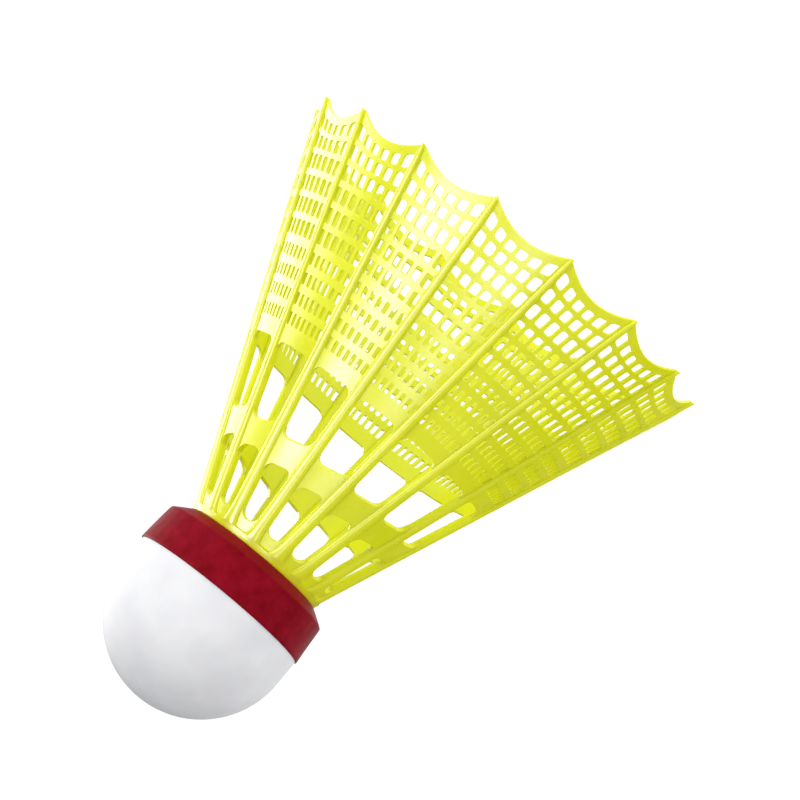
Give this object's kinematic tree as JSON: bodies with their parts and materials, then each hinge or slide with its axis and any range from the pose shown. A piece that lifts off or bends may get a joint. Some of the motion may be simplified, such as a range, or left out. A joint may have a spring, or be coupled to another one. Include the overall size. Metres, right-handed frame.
{
  "type": "badminton shuttlecock",
  "caption": "Practice shuttlecock: rounded covered base with a ribbon round its shoulder, and a flared moulded skirt of stems joined by bands and a perforated net with a scalloped rim.",
  "frame": {"origin": "centre of the circle through the stem tips, on the plane that the shuttlecock stands on", "axes": "+Z is the shuttlecock's axis, from the skirt's rim up to the nose of the base; +X passes through stem_01"},
  "size_m": [0.0654, 0.0654, 0.0769],
  "materials": {
    "nylon": "smooth moulded nylon, slightly translucent",
    "cover": "smooth white coated leather",
    "ribbon": "glossy coated ribbon",
    "cork": "fine pressed cork",
    "adhesive": "dried glue"
  },
  "bodies": {
    "root": {"cork_core": "cork", "base_cover": "cover", "ribbon": "ribbon", "adhesive": "adhesive", "skirt_plug": "nylon", "seat_flange": "nylon", "root_web": "nylon", "mid_band": "nylon", "stem_01": "nylon", "net_panel_01": "nylon", "stem_02": "nylon", "net_panel_02": "nylon", "stem_03": "nylon", "net_panel_03": "nylon", "stem_04": "nylon", "net_panel_04": "nylon", "stem_05": "nylon", "net_panel_05": "nylon", "stem_06": "nylon", "net_panel_06": "nylon", "stem_07": "nylon", "net_panel_07": "nylon", "stem_08": "nylon", "net_panel_08": "nylon", "stem_09": "nylon", "net_panel_09": "nylon", "stem_10": "nylon", "net_panel_10": "nylon", "stem_11": "nylon", "net_panel_11": "nylon", "stem_12": "nylon", "net_panel_12": "nylon", "stem_13": "nylon", "net_panel_13": "nylon", "stem_14": "nylon", "net_panel_14": "nylon", "stem_15": "nylon", "net_panel_15": "nylon", "stem_16": "nylon", "net_panel_16": "nylon"}
  },
  "joints": []
}
